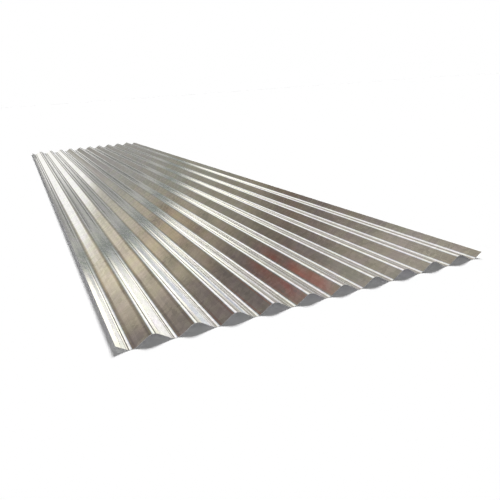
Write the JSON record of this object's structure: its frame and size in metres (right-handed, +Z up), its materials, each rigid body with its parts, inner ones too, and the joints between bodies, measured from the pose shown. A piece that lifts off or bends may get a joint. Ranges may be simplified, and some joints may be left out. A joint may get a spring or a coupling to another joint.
{
  "type": "corrugated galvanized roofing sheet",
  "caption": "Long thin sheet of bright galvanized steel with rounded waves across its width and straight flanks, laid as roof or wall cladding.",
  "frame": {"origin": "under the middle of the sheet, on the plane that its valleys rest on", "axes": "+X across the waves, +Y along the waves, the way the sheet's length runs, +Z up out of the weather face"},
  "size_m": [0.812, 3.6, 0.0185],
  "materials": {
    "galvanized_steel": "bright zinc coating with a fine spangle, smooth and shiny"
  },
  "bodies": {
    "root": {"corrugated_sheet": "galvanized_steel"}
  },
  "joints": []
}
